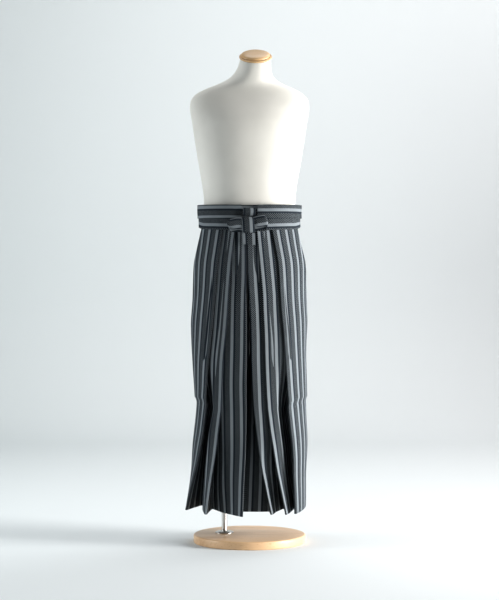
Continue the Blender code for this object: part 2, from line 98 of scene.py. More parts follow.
sweep_paint, sweep_tree, sweep_shader = new_material("sweep_paper", 0.9, 0.2)
sweep_place = sweep_tree.nodes.new("ShaderNodeTexCoord")
sweep_parts = sweep_tree.nodes.new("ShaderNodeSeparateXYZ")
link(sweep_tree, sweep_place.outputs["Object"], sweep_parts.inputs["Vector"])
sweep_share = sweep_tree.nodes.new("ShaderNodeMapRange")
sweep_share.inputs["From Min"].default_value = -PAINTED_LIGHT_REACH
sweep_share.inputs["From Max"].default_value = PAINTED_LIGHT_REACH
link(sweep_tree, sweep_parts.outputs["X"], sweep_share.inputs["Value"])
# Painted light and shade: the paper is painted cooler and a touch lighter at the left, neutral and
# a touch darker at the right.
sweep_painted_light = ramp(sweep_tree, sweep_share.outputs["Result"],
                  ((0.0, (0.720, 0.765, 0.773)), (1.0, (0.730, 0.745, 0.750))))
link(sweep_tree, sweep_painted_light, sweep_shader.inputs["Base Color"])
sweep_bm = bmesh.new()
bmesh.ops.create_grid(sweep_bm, x_segments=8, y_segments=90, size=1.0)
for vert in sweep_bm.verts:
    along = vert.co.y * SWEEP_HALF_LENGTH + SWEEP_MIDDLE
    past = along - SWEEP_BACK
    turn = min(max(past / SWEEP_RADIUS, 0.0), math.pi / 2)
    rise = max(past - SWEEP_RADIUS * math.pi / 2, 0.0)
    vert.co = (vert.co.x * SWEEP_HALF_WIDTH,
               min(along, SWEEP_BACK) + SWEEP_RADIUS * math.sin(turn),
               SWEEP_RADIUS * (1 - math.cos(turn)) + rise)
sweep = add_mesh("studio_sweep", sweep_bm, sweep_paint)

camera_data = bpy.data.cameras.new("camera")
camera_data.lens = 93.0
camera_data.sensor_width = 36.0
camera = bpy.data.objects.new("camera", camera_data)
camera.location = (0.0, -5.0, 0.779)
camera.rotation_euler = (math.radians(90.0), 0.0, 0.0)
bpy.context.scene.collection.objects.link(camera)
bpy.context.scene.camera = camera
bpy.context.scene.view_settings.view_transform = "Standard"
bpy.context.scene.view_settings.look = "Medium High Contrast"


def soft_light(name, place, aim, size, power, colour, spread=180.0):
    """A rectangular area light (width, height) that faces a point; a grid narrows its spread."""
    data = bpy.data.lights.new(name, "AREA")
    data.shape = "RECTANGLE"
    data.size, data.size_y = size
    data.energy = power
    data.color = colour
    data.spread = math.radians(spread)
    light = bpy.data.objects.new(name, data)
    light.location = place
    light.rotation_mode = "QUATERNION"
    light.rotation_quaternion = (Vector(aim) - Vector(place)).to_track_quat("-Z", "Y")
    bpy.context.scene.collection.objects.link(light)


soft_light("key_light", (3.85, -1.0, 1.05), (0.0, 0.0, 0.75), (1.4, 2.2), 122.0,
           (1.0, 0.99, 0.98), 105.0)
soft_light("fill_light", (-3.9, -0.4, 1.3), (0.0, 0.0, 0.8), (1.4, 2.2), 40.0,
           (0.93, 0.97, 1.0), 120.0)
soft_light("front_light", (0.9, -5.2, 2.4), (0.0, 0.0, 0.8), (1.6, 1.6), 8.0,
           (0.97, 0.985, 1.0))
soft_light("wall_light", (1.8, 1.9, 4.2), (1.0, 4.6, 0.5), (5.0, 1.0), 104.0,
           (1.0, 1.0, 1.0))
soft_light("floor_light", (0.7, 0.5, 4.5), (0.6, 0.8, 0.0), (6.0, 3.0), 54.0,
           (1.0, 1.0, 1.0))
world = bpy.data.worlds.new("studio")
world.use_nodes = True
world.node_tree.nodes["Background"].inputs["Color"].default_value = (0.86, 0.92, 0.95, 1.0)
world.node_tree.nodes["Background"].inputs["Strength"].default_value = 0.10
bpy.context.scene.world = world

# --------------------------------------------------------------------------------------------
# The base disc: a round board of pale steamed beech, turned with an eased edge and given a
# satin clear coat.  It carries the pole, which is screwed up into its flange from below.


def turned(name, profile, material, place, steps=96, tilt=0.0):
    """A solid turned from (radius, height) points that start and end on the axis."""
    bm = bmesh.new()
    verts = [bm.verts.new((radius, 0.0, height)) for radius, height in profile]
    edges = [bm.edges.new(pair) for pair in zip(verts, verts[1:])]
    bmesh.ops.spin(bm, geom=verts + edges, axis=(0, 0, 1), cent=(0, 0, 0),
                   angle=2 * math.pi, steps=steps, use_merge=True)
    bmesh.ops.remove_doubles(bm, verts=bm.verts, dist=1e-6)
    bmesh.ops.recalc_face_normals(bm, faces=bm.faces)
    cosine, sine = math.cos(tilt), math.sin(tilt)
    for vert in bm.verts:
        x, y, z = vert.co
        vert.co = (x + place[0], y * cosine - z * sine + place[1],
                   y * sine + z * cosine + place[2])
    return add_mesh(name, bm, material, 30.0)


def eased(radius, height, ease, quarter, steps=5):
    """Points round an eased corner: quarter 0 is a top outer edge, 1 a bottom outer edge."""
    points = []
    for step in range(steps + 1):
        angle = math.pi / 2 * step / steps
        if quarter == 0:
            points.append((radius - ease + ease * math.sin(angle),
                           height - ease + ease * math.cos(angle)))
        else:
            points.append((radius - ease + ease * math.cos(angle),
                           height + ease - ease * math.sin(angle)))
    return points


def add_node(tree, kind, **settings):
    """A shader node; each setting fills the input of its name."""
    node = tree.nodes.new(kind)
    for key, amount in settings.items():
        node.inputs[key.title()].default_value = amount
    return node


def mapped(tree, scale, turn=(0.0, 0.0, 0.0)):
    """Object coordinates, turned and stretched for a pattern."""
    source = tree.nodes.new("ShaderNodeTexCoord")
    mapping = tree.nodes.new("ShaderNodeMapping")
    mapping.inputs["Scale"].default_value = scale
    mapping.inputs["Rotation"].default_value = turn
    link(tree, source.outputs["Object"], mapping.inputs["Vector"])
    return mapping.outputs["Vector"]


def noise(tree, vector, scale, detail=4.0, roughness=0.55, distortion=0.0):
    node = add_node(tree, "ShaderNodeTexNoise", scale=scale, detail=detail,
                    roughness=roughness, distortion=distortion)
    link(tree, vector, node.inputs["Vector"])
    return node.outputs["Fac"]


def mix_colours(tree, blend, factor, first, second):
    """Blend two colours; the factor is a number or a socket."""
    node = tree.nodes.new("ShaderNodeMix")
    node.data_type = "RGBA"
    node.blend_type = blend
    for socket, value in ((node.inputs["Factor"], factor), (node.inputs[6], first),
                          (node.inputs[7], second)):
        if isinstance(value, (int, float)):
            socket.default_value = value
        elif isinstance(value, tuple):
            socket.default_value = (*value, 1.0)
        else:
            link(tree, value, socket)
    return node.outputs[2]


def bump(tree, shader, height, strength, distance):
    node = tree.nodes.new("ShaderNodeBump")
    node.inputs["Strength"].default_value = strength
    node.inputs["Distance"].default_value = distance
    link(tree, height, node.inputs["Height"])
    link(tree, node.outputs["Normal"], shader.inputs["Normal"])


def beech(name, pale, dark, stretch, turn=(0.0, 0.0, 0.0)):
    """Turned beech: long soft grain, short dark flecks and a satin clear coat."""
    material, tree, shader = new_material(name, 0.42)
    shader.inputs["Coat Weight"].default_value = 0.25
    shader.inputs["Coat Roughness"].default_value = 0.30
    grain = noise(tree, mapped(tree, stretch, turn), 3.0, 6.0, 0.6, 0.6)
    tone = ramp(tree, grain, ((0.30, dark), (0.52, pale), (0.72, tuple(c * 0.90 for c in pale))))
    fleck_scale = tuple(size * 9 for size in stretch)
    flecks = noise(tree, mapped(tree, fleck_scale, turn), 6.0, 2.0, 0.5)
    fleck_tone = ramp(tree, flecks, ((0.0, (1.0, 1.0, 1.0)), (0.60, (1.0, 1.0, 1.0)),
                                     (0.70, (0.80, 0.74, 0.66))))
    link(tree, mix_colours(tree, "MULTIPLY", 0.8, tone, fleck_tone), shader.inputs["Base Color"])
    link(tree, ramp(tree, grain, ((0.3, (0.50,) * 3), (0.7, (0.38,) * 3))),
         shader.inputs["Roughness"])
    bump(tree, shader, flecks, 0.15, 0.0004)
    return material


BASE_RADIUS = 0.180
BASE_HEIGHT = 0.026
base_wood = beech("pale_beech", (0.72, 0.48, 0.28), (0.55, 0.34, 0.18), (1.0, 7.0, 7.0))
base_profile = [(0.0, BASE_HEIGHT)]
base_profile += eased(BASE_RADIUS, BASE_HEIGHT, 0.005, 0)
base_profile += eased(BASE_RADIUS, 0.0, 0.003, 1)
base_profile.append((0.0, 0.0))
base_disc = turned("base_board", base_profile, base_wood, (0.0, 0.0, 0.0), 128)
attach(base_disc, "root")
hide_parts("base_disc")

# --------------------------------------------------------------------------------------------
# The pole: satin steel tube between a turned flange on the base and a collar that is screwed
# to the underside of the form.  It stands to one side, so that it runs down one trouser leg.

steel, steel_tree, steel_shader = new_material("satin_steel", 0.30)
steel_shader.inputs["Metallic"].default_value = 1.0
brush = noise(steel_tree, mapped(steel_tree, (260.0, 260.0, 6.0)), 3.0, 3.0, 0.6)
steel_tone = ramp(steel_tree, brush, ((0.3, (0.56, 0.545, 0.52)), (0.7, (0.68, 0.665, 0.64))))
link(steel_tree, steel_tone, steel_shader.inputs["Base Color"])
link(steel_tree, ramp(steel_tree, brush, ((0.3, (0.24,) * 3), (0.7, (0.38,) * 3))),
     steel_shader.inputs["Roughness"])
bump(steel_tree, steel_shader, brush, 0.05, 0.0002)

POLE_PLACE = (-0.081, 0.020, 0.0)
POLE_RADIUS = 0.009
GAP = 0.0003             # air left between fittings that sit on each other
flange_foot = BASE_HEIGHT + GAP
flange_top = flange_foot + 0.007
form_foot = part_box("form_torso")[0].z
collar_top = form_foot - GAP
collar_foot = collar_top - 0.022
for name, node, outline in (
        ("pole_flange_turned", "pole_flange",
         [(0.0, flange_top), (0.0130, flange_top), (0.0150, flange_top - 0.0006),
          (0.0240, flange_top - 0.0024), (0.0285, flange_top - 0.0040),
          (0.0300, flange_foot + 0.0018), (0.0300, flange_foot), (0.0, flange_foot)]),
        ("pole_tube", "pole",
         [(0.0, collar_foot - GAP), (POLE_RADIUS, collar_foot - GAP),
          (POLE_RADIUS, 0.40), (POLE_RADIUS, flange_top + GAP), (0.0, flange_top + GAP)]),
        ("pole_collar_turned", "pole_collar",
         [(0.0, collar_top), (0.0165, collar_top), (0.0170, collar_top - 0.0006),
          (0.0170, collar_top - 0.0040), (0.0142, collar_top - 0.0052),
          (0.0142, collar_foot + 0.0015), (0.0130, collar_foot), (0.0, collar_foot)])):
    fitting = turned(name, outline, steel, POLE_PLACE, 64)
    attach(fitting, "root")
    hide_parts(node)

# --------------------------------------------------------------------------------------------
# The dress form: a moulded trunk without head, arms or legs, drawn over with a close-fitting
# off-white jersey cover.  It holds the waist of the trousers; the neck leans forward.


def read(rows, height):
    """Values of rows (height, value, ...) at a height, in straight lines between the rows."""
    heights = [-row[0] for row in rows]
    return [float(np.interp(-height, heights, column)) for column in list(zip(*rows))[1:]]


def read_soft(rows, height, window=0.022):
    """Like read, but averaged over a short stretch, so that lines bend instead of break."""
    reach = min(window, rows[0][0] - height, height - rows[-1][0])
    if reach <= 0.0005:
        return read(rows, height)
    samples = [read(rows, height + reach * share) for share in (-1.0, -0.5, 0.0, 0.5, 1.0)]
    weights = (1, 2, 3, 2, 1)
    return [sum(w * s for w, s in zip(weights, column)) / 9 for column in zip(*samples)]


FORM_TOP, FORM_LENGTH = 1.5556, 0.7556
FORM_AROUND, FORM_DOWN, FORM_POWER = 96, 90, 2.3
# (height, half width, depth in front, depth behind, middle X, middle Y, rise to the back)
FORM_RINGS = (
    (FORM_TOP, 0.0480, 0.0450, 0.0450, 0.0195, -0.030, 0.5317),
    (1.5250, 0.0530, 0.0480, 0.0500, 0.0160, -0.022, 0.45),
    (1.5000, 0.0630, 0.0510, 0.0540, 0.0100, -0.013, 0.35),
    (1.4850, 0.0800, 0.0545, 0.0580, 0.0060, -0.007, 0.25),
    (1.4730, 0.1100, 0.0580, 0.0640, 0.0030, -0.002, 0.15),
    (1.4600, 0.1450, 0.0630, 0.0720, 0.0010, 0.001, 0.08),
    (1.4450, 0.1730, 0.0700, 0.0840, 0.0, 0.003, 0.03),
    (1.4250, 0.1900, 0.0820, 0.1000, 0.0, 0.003, 0.0),
    (1.3950, 0.1930, 0.1000, 0.1130, 0.0, 0.002, 0.0),
    (1.3500, 0.1850, 0.1170, 0.1190, 0.0, 0.0, 0.0),
    (1.2900, 0.1760, 0.1240, 0.1160, 0.0, 0.0, 0.0),
    (1.2200, 0.1650, 0.1200, 0.1100, 0.0, 0.0, 0.0),
    (1.1600, 0.1540, 0.1140, 0.1050, 0.0, 0.0, 0.0),
    (1.1100, 0.1470, 0.1110, 0.1030, 0.0, 0.0, 0.0),
    (1.0600, 0.1460, 0.1105, 0.1035, 0.0, 0.0, 0.0),
    (1.0100, 0.1490, 0.1110, 0.1070, 0.0, 0.0, 0.0),
    (0.9600, 0.1560, 0.1125, 0.1120, 0.0, 0.0, 0.0),
    (0.9100, 0.1660, 0.1165, 0.1190, 0.0, 0.0, 0.0),
    (0.8700, 0.1660, 0.1145, 0.1180, 0.0, 0.0, 0.0),
    (0.8320, 0.1590, 0.1080, 0.1110, 0.0, 0.0, 0.0),
    (0.8060, 0.1440, 0.0980, 0.1010, 0.0, 0.0, 0.0),
    (0.8000, 0.1280, 0.0880, 0.0900, 0.0, 0.0, 0.0),
)


def grid_through(rows):
    """A grid surface whose vertices follow equally long rows of points."""
    bm = bmesh.new()
    columns = len(rows[0])
    bmesh.ops.create_grid(bm, x_segments=columns - 1, y_segments=len(rows) - 1, size=1.0)
    bm.verts.ensure_lookup_table()
    for number, vert in enumerate(bm.verts):
        vert.co = rows[number // columns][number % columns]
    return bm


def oval(turn, half, front, back, power):
    """A point of a level superellipse whose front and back depths differ."""
    angle = 2 * math.pi * turn
    sine, cosine = math.sin(angle), math.cos(angle)
    x = math.copysign(abs(sine) ** (2 / power), sine) * half
    y = -math.copysign(abs(cosine) ** (2 / power), cosine) * (front if cosine > 0 else back)
    return x, y


form_heights = [FORM_TOP - FORM_LENGTH * (0.5 - 0.5 * math.cos(math.pi * step / FORM_DOWN))
                for step in range(FORM_DOWN + 1)]
form_rows = []
for height in form_heights:
    half, front, back, x, y, tilt = read_soft(FORM_RINGS, height, 0.012)
    row = []
    for step in range(FORM_AROUND + 1):
        across, deep = oval(step / FORM_AROUND, half, front, back, FORM_POWER)
        row.append((x + across, y + deep, height - GAP + tilt * deep))
    form_rows.append(row)
form_bm = grid_through(form_rows)
bmesh.ops.remove_doubles(form_bm, verts=form_bm.verts, dist=1e-6)
bmesh.ops.holes_fill(form_bm, edges=[e for e in form_bm.edges if e.is_boundary], sides=0)
bmesh.ops.recalc_face_normals(form_bm, faces=form_bm.faces)
cover, cover_tree, cover_shader = new_material("jersey_cover", 0.82, 0.3)
cover_shader.inputs["Sheen Weight"].default_value = 0.15
cover_shader.inputs["Sheen Roughness"].default_value = 0.5
blotches = noise(cover_tree, mapped(cover_tree, (1.0, 1.0, 1.0)), 5.0, 3.0)
cover_tone = ramp(cover_tree, blotches,
                  ((0.35, (0.64, 0.625, 0.575)), (0.65, (0.70, 0.685, 0.635))))
link(cover_tree, cover_tone, cover_shader.inputs["Base Color"])
wales = add_node(cover_tree, "ShaderNodeTexVoronoi", scale=900.0)
link(cover_tree, mapped(cover_tree, (1.0, 1.0, 0.7)), wales.inputs["Vector"])
bump(cover_tree, cover_shader, wales.outputs["Distance"], 0.25, 0.0003)
form = add_mesh("form_cover", form_bm, cover, 60.0)
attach(form, "root")
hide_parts("form_torso")

# --------------------------------------------------------------------------------------------
# The neck cap: two turned tiers of honey-coloured beech with a dark turned groove between
# them, screwed on the sloping top of the neck.

cap_wood = beech("honey_beech", (0.62, 0.41, 0.21), (0.47, 0.28, 0.12), (1.5, 10.0, 10.0))
cap_profile = [(0.0, 0.0165), (0.012, 0.0164), (0.024, 0.0160), (0.034, 0.0152), (0.0405, 0.0140),
               (0.0445, 0.0122), (0.0462, 0.0100), (0.0465, 0.0076), (0.0460, 0.0066),
               (0.0454, 0.0060), (0.0500, 0.0060), (0.0518, 0.0054), (0.0525, 0.0042),
               (0.0525, 0.0016), (0.0518, 0.0006), (0.0505, 0.0002), (0.0, 0.0002)]
neck_cap = turned("neck_cap_turned", cap_profile, cap_wood, (0.0195, -0.030, FORM_TOP), 96,
                  math.radians(28.0))
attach(neck_cap, "root")
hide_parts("neck_cap")

# --------------------------------------------------------------------------------------------
# The right front panel: two loom widths of dark striped cloth, pressed into three knife
# pleats whose edges face the centre.  It is sewn to the waistband along its top, to the back
# at the side seam and to the gusset inside the leg.  Below a storage crease the pleats open.

STRIPE_REPEAT = 0.0308   # a pale stripe, a plain dark one and five columns of checks
PALE_STRIPE = 0.0094
CHECK = 0.00312
CHECKED_FROM = STRIPE_REPEAT - 5 * CHECK


def value(tree, operation, *inputs):
    """A Math node; each input is a number or a socket."""
    node = tree.nodes.new("ShaderNodeMath")
    node.operation = operation
    for socket, source in zip(node.inputs, inputs):
        if isinstance(source, (int, float)):
            socket.default_value = source
        else:
            link(tree, source, socket)
    return node.outputs[0]


def between(tree, source, low, high, soft):
    """1 where a value lies between two limits, with a short soft step at each."""
    rise = tree.nodes.new("ShaderNodeMapRange")
    rise.inputs["From Min"].default_value = low - soft
    rise.inputs["From Max"].default_value = low + soft
    link(tree, source, rise.inputs["Value"])
    fall = tree.nodes.new("ShaderNodeMapRange")
    fall.inputs["From Min"].default_value = high - soft
    fall.inputs["From Max"].default_value = high + soft
    fall.inputs["To Min"].default_value = 1.0
    fall.inputs["To Max"].default_value = 0.0
    link(tree, source, fall.inputs["Value"])
    return value(tree, "MULTIPLY", rise.outputs["Result"], fall.outputs["Result"])


def grey(tree, source):
    """A grey of a value."""
    node = tree.nodes.new("ShaderNodeCombineColor")
    for socket in ("Red", "Green", "Blue"):
        link(tree, source, node.inputs[socket])
    return node.outputs["Color"]


def mapped_cloth(tree, scale):
    """The cloth's own flat coordinates in metres, stretched for a pattern."""
    source = tree.nodes.new("ShaderNodeUVMap")
    source.uv_map = "cloth"
    mapping = tree.nodes.new("ShaderNodeMapping")
    mapping.inputs["Scale"].default_value = scale
    link(tree, source.outputs["UV"], mapping.inputs["Vector"])
    return mapping.outputs["Vector"]


def striped_cloth():
    """Near-black cloth: a pale stripe with darker pin lines, a slate one and woven checks."""
    material, tree, shader = new_material("striped_cloth", 0.78, 0.10)
    parts = tree.nodes.new("ShaderNodeSeparateXYZ")
    link(tree, mapped_cloth(tree, (1.0, 1.0, 1.0)), parts.inputs["Vector"])
    across, along = parts.outputs["X"], parts.outputs["Y"]
    place = value(tree, "FLOORED_MODULO", across, STRIPE_REPEAT)
    pale = between(tree, place, 0.0, PALE_STRIPE, 0.00015)
    checked = between(tree, place, CHECKED_FROM, STRIPE_REPEAT, 0.00005)
    from_checks = value(tree, "SUBTRACT", place, CHECKED_FROM)
    check = value(tree, "ADD", value(tree, "FLOOR", value(tree, "DIVIDE", from_checks, CHECK)),
                  value(tree, "FLOOR", value(tree, "DIVIDE", along, CHECK)))
    check = value(tree, "FLOORED_MODULO", check, 2.0)
    pins = value(tree, "SINE", value(tree, "MULTIPLY", place, 2 * math.pi / (PALE_STRIPE / 4)))
    pins = value(tree, "MULTIPLY_ADD", pins, 0.08, 0.92)
    checks = mix_colours(tree, "MIX", check, (0.0020, 0.0030, 0.0040), (0.118, 0.134, 0.146))
    colour = mix_colours(tree, "MIX", checked, (0.022, 0.029, 0.038), checks)
    stripe = mix_colours(tree, "MULTIPLY", 1.0, (0.262, 0.290, 0.310), grey(tree, pins))
    colour = mix_colours(tree, "MIX", pale, colour, stripe)
    slubs = noise(tree, mapped_cloth(tree, (60.0, 900.0, 1.0)), 1.0, 2.0)
    tone = ramp(tree, slubs, ((0.3, (0.84,) * 3), (0.7, (1.0,) * 3)))
    colour = mix_colours(tree, "MULTIPLY", 1.0, colour, tone)
    warp = value(tree, "SINE", value(tree, "MULTIPLY", across, 2 * math.pi / 0.0007))
    weft = value(tree, "SINE", value(tree, "MULTIPLY", along, 2 * math.pi / 0.0008))
    weave = value(tree, "MULTIPLY_ADD", value(tree, "MULTIPLY", warp, weft), 0.5, 0.5)
    weave_tone = ramp(tree, weave, ((0.0, (0.82,) * 3), (1.0, (1.0,) * 3)))
    link(tree, mix_colours(tree, "MULTIPLY", 1.0, colour, weave_tone),
         shader.inputs["Base Color"])
    bump(tree, shader, weave, 0.30, 0.00015)
    return material


cloth = striped_cloth()

CLOTH = 0.0011           # thickness of the woven cloth
WAIST, TIED, VENT_FOOT, CROTCH, CREASE = 1.036, 0.995, 0.715, 0.600, 0.450
HEM, HEM_RISE, RISE_FROM = 0.117, 0.10, 0.20
PITCH = 0.0032           # from layer to layer of a pressed pleat
EDGE, VALLEY, UNDER = 0.5 * PITCH, 1.5 * PITCH, 2.0 * PITCH
FOLD_STEPS, RUN_STEPS = 6, 9
PANEL_ROWS = 110

# The pressed face of the front, seen from above: (height, half width, depth, exponent).
FRONT = ((WAIST, 0.160, 0.1225, 2.2), (TIED, 0.161, 0.1225, 2.2), (0.90, 0.182, 0.1360, 2.4),
         (VENT_FOOT, 0.194, 0.1510, 2.8), (CROTCH, 0.195, 0.1560, 3.0),
         (CREASE, 0.190, 0.1580, 3.0), (HEM, 0.235, 0.1580, 3.0))
FRONT_CURLS = ((WAIST, 4.6, 7.0), (0.90, 3.0, 7.0), (CROTCH, 1.6, 7.0), (HEM, 1.6, 4.0))


def fold_place(line, height):
    """(out, fore) of a fold line (kind, rows, profile) at a height."""
    _, rows, profile = line
    out, last = read_soft(rows, height)
    if profile:
        half, depth, power = read_soft(profile, height)
        share = min(abs(out) / half, 0.98)
        last = depth * (1.0 - share ** power) ** (1.0 / power) - last
    return np.array((out, last))


def unit(vector):
    return vector / (np.linalg.norm(vector) + 1e-12)


def square_to(vector):
    """The direction square to a vector that points away from the inside of the garment."""
    turned_vector = np.array((-vector[1], vector[0]))
    return turned_vector if turned_vector.sum() > 0 else -turned_vector


def panel_section(lines, height, curls):
    """Points of the cut through a panel at a height, and the column at each line's middle."""
    tips = [fold_place(line, height) for line in lines]
    width = PITCH + 0.003 * max(0.0, (CREASE - height) / (CREASE - HEM))
    groups = []
    for number, line in enumerate(lines):
        if line[0] != "fold":
            groups.append([tips[number]])
            continue
        before, tip, after = tips[number - 1:number + 2]
        inward = unit(unit(before - tip) + unit(after - tip))
        across = square_to(inward)
        centre = tip + inward * width / 2
        angles = [math.pi * (step / FOLD_STEPS - 0.5) for step in range(FOLD_STEPS + 1)]
        groups.append([centre + width / 2 * (across * math.sin(a) - inward * math.cos(a))
                       for a in angles])
    points, middles = list(groups[0]), [0]
    for number in range(1, len(groups)):
        curl = read_soft(curls, height)[0 if number < len(groups) - 1 else 1]
        start, end = groups[number - 1][-1], groups[number][0]
        chord = end - start
        bow = square_to(unit(chord)) * curl * float(chord @ chord) / 2
        for step in range(1, RUN_STEPS):
            share = step / RUN_STEPS
            points.append(start + chord * share + bow * share * (1 - share))
        middles.append(len(points) + len(groups[number]) // 2)
        points += groups[number]
    return points, middles


def stir(x, y, z):
    """Small uneven moves that all the cloth shares, so that its layers never meet.

    The cloth swells slowly all over, bulges above the storage crease and sinks in below it.
    """
    loose = min(max((0.97 - z) / 0.15, 0.0), 1.0)
    out_x, out_y = x / 0.19, y / 0.155
    reach = math.hypot(out_x, out_y) + 1e-6
    out_x, out_y = out_x / reach, out_y / reach
    below = min(max((CREASE - z) / 0.08, 0.0), 1.0)
    swell = 0.0012 * math.sin(13 * z + 9 * x + 1) + (0.0006 + 0.0006 * below) * math.sin(
        34 * z - 18 * x + 7 * y)
    far = min(max((abs(x) - 0.10) / 0.06, 0.0), 1.0)
    level = CREASE - 0.006 + 0.020 * far * far * (3 - 2 * far) + 0.002 * math.sin(37 * x)
    side = 0.30 + 0.70 * math.exp(-((abs(x) - 0.150) / 0.035) ** 2)
    past = z - level
    above = 0.5 + 0.5 * math.tanh(past / 0.0045)
    swell += side * 0.0050 * above * math.exp(-abs(past) / 0.050)
    swell -= side * 0.0042 * (1 - above) * math.exp(-abs(past) / 0.030)
    sway = 0.0007 * math.sin(21 * z + 9 * x)
    return x + loose * (sway + swell * out_x), y + loose * swell * out_y


def cloth_point(out, fore, height):
    """A point of the stirred cloth; below RISE_FROM it rises to the back, as the hem does."""
    x, y = stir(out, fore, height)
    low = min(max((RISE_FROM - height) / (RISE_FROM - HEM), 0.0), 1.0)
    return x, y, height + low * HEM_RISE * y


def cloth_sheet(name, rows, strips, lengthwise=False, thickness=CLOTH, start=0.0, way=1):
    """A cloth wall through rows of points, with its own flat size in metres as UV map.

    strips are (first column, last column, column of the fold edge, the stripes' place at that
    edge in each row); way is -1 where the columns run against the stripes' order.
    """
    columns = len(rows[0])
    grid = np.array(rows)
    steps_across = np.linalg.norm(np.diff(grid, axis=1), axis=2)
    across = np.concatenate([np.zeros((len(rows), 1)), np.cumsum(steps_across, axis=1)], axis=1)
    steps_down = np.linalg.norm(np.diff(grid, axis=0), axis=2)
    down = np.concatenate([np.zeros((1, columns)), np.cumsum(steps_down, axis=0)], axis=0)
    bm = grid_through([[tuple(point) for point in row] for row in rows])
    bm.verts.index_update()
    flat = bm.loops.layers.uv.new("cloth")
    for face in bm.faces:
        places = [divmod(loop.vert.index, columns) for loop in face.loops]
        first = min(column for _, column in places)
        for low, high, anchor, offset in strips:
            if low <= first < high:
                break
        for loop, (row, column) in zip(face.loops, places):
            if lengthwise:
                loop[flat].uv = (start + down[row][column], across[row][column])
            else:
                away = across[row][column] - across[row][anchor]
                loop[flat].uv = (offset[row] + way * away, down[row][column])
    rough = add_mesh(name + "_open", bm, cloth, 80.0)
    wall = rough.modifiers.new("wall", "SOLIDIFY")
    wall.thickness = thickness
    wall.offset = 0.0
    wall.use_even_offset = not lengthwise
    bpy.context.view_layer.update()
    shaped = rough.evaluated_get(bpy.context.evaluated_depsgraph_get())
    mesh = bpy.data.meshes.new_from_object(shaped)
    bpy.data.objects.remove(rough)
    mesh.name = name
    mesh.set_sharp_from_angle(angle=math.radians(52.0))
    piece = bpy.data.objects.new(name, mesh)
    bpy.context.scene.collection.objects.link(piece)
    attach(piece, "root")
    return piece


SEAM_TURN = 0.009        # the seam allowances turn in this far


def panel(name, lines, side, face, curls, first_place, edge_places):
    """Loft a panel; side is -1 or 1 along X, face is -1 for the front and 1 for the back.

    first_place and edge_places say where in the stripes' repeat the seam and each fold edge
    lie, as (height, place) rows.
    """
    heights = list(np.linspace(WAIST, HEM, PANEL_ROWS))
    rows = []
    for height in heights:
        points, middles = panel_section(lines, height, curls)
        first, last = points[0], points[-1]
        points = [first + np.array((0.0, -SEAM_TURN))] + list(points)
        points.append(last + np.array((-SEAM_TURN, 0.0002)))
        rows.append([cloth_point(side * out, face * fore, height) for out, fore in points])
    middles = [middle + 1 for middle in middles]
    folds = [number for number, line in enumerate(lines) if line[0] == "fold"]
    valleys, edges = folds[0::2], folds[1::2]
    bounds = [middles[number] for number in valleys] + [middles[-1] + 1]
    strips = [(0, bounds[0], 1, [read(first_place, height)[0] for height in heights])]
    for low, high, edge, place in zip(bounds, bounds[1:], edges, edge_places):
        strips.append((low, high, middles[edge], [read_soft(place, h)[0] for h in heights]))
    return cloth_sheet(name, rows, strips, way=side * -face)


FRONT_RIGHT = (
    ("end", ((WAIST, 0.0006, 0.1161), (TIED, 0.0006, 0.1161), (0.90, 0.0006, 0.1290),
             (0.80, 0.0006, 0.112), (CROTCH, 0.0006, 0.012), (CREASE, 0.012, 0.050),
             (0.27, 0.028, 0.080), (HEM, 0.037, 0.094)), None),
    ("fold", ((WAIST, 0.040, VALLEY), (0.90, 0.045, VALLEY), (CROTCH, 0.050, 0.014),
              (CREASE, 0.054, 0.026), (HEM, 0.066, 0.046)), FRONT),
    ("fold", ((WAIST, 0.0120, EDGE), (CROTCH, 0.0090, EDGE), (CREASE, 0.0095, EDGE),
              (0.27, 0.0130, EDGE), (HEM, 0.0220, 0.002)), FRONT),
    ("bend", ((WAIST, 0.040, UNDER), (CROTCH, 0.077, UNDER), (CREASE, 0.082, UNDER),
              (0.36, 0.080, 0.008), (0.27, 0.080, 0.022), (HEM, 0.088, 0.058)), FRONT),
    ("fold", ((WAIST, 0.062, VALLEY), (CROTCH, 0.105, VALLEY), (CREASE, 0.108, 0.010),
              (0.36, 0.106, 0.040), (0.27, 0.110, 0.065), (HEM, 0.118, 0.098)), FRONT),
    ("fold", ((WAIST, 0.040, EDGE), (0.90, 0.058, EDGE), (CROTCH, 0.081, EDGE),
              (CREASE, 0.088, EDGE), (0.27, 0.111, 0.004), (HEM, 0.138, 0.020)), FRONT),
    ("bend", ((WAIST, 0.074, UNDER), (0.90, 0.095, UNDER), (CROTCH, 0.122, UNDER),
              (CREASE, 0.110, 0.009), (0.36, 0.127, 0.012), (0.27, 0.136, 0.024),
              (HEM, 0.149, 0.078)), FRONT),
    ("fold", ((WAIST, 0.100, VALLEY), (CROTCH, 0.146, VALLEY), (CREASE, 0.128, 0.070),
              (0.36, 0.135, 0.090), (0.27, 0.142, 0.110), (HEM, 0.151, 0.140)), FRONT),
    ("fold", ((WAIST, 0.078, EDGE), (0.90, 0.099, EDGE), (CROTCH, 0.126, EDGE),
              (CREASE, 0.138, EDGE), (0.36, 0.145, 0.004), (0.27, 0.163, 0.016),
              (HEM, 0.201, 0.049)), FRONT),
    ("end", ((WAIST, 0.146, 0.053), (0.90, 0.178, 0.035), (VENT_FOOT, 0.188, 0.000),
             (CROTCH, 0.182, 0.000), (CREASE, 0.170, 0.000), (0.27, 0.181, -0.010),
             (HEM, 0.192, -0.022)), None),
)
front_right = panel(
    "front_right_panel", FRONT_RIGHT, -1, -1, FRONT_CURLS, ((WAIST, 0.014), (HEM, 0.014)), (
        ((WAIST, 0.0140), (0.84, 0.0145), (0.78, 0.0176), (0.70, 0.0205), (0.50, 0.0223),
         (0.40, 0.0206), (0.33, 0.0190), (HEM, 0.0185)),
        ((WAIST, 0.0117), (CREASE, 0.0117), (0.25, 0.0095), (HEM, 0.0060)),
        ((WAIST, 0.0244), (CREASE, 0.0244), (HEM, 0.0244))))
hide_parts("front_right")

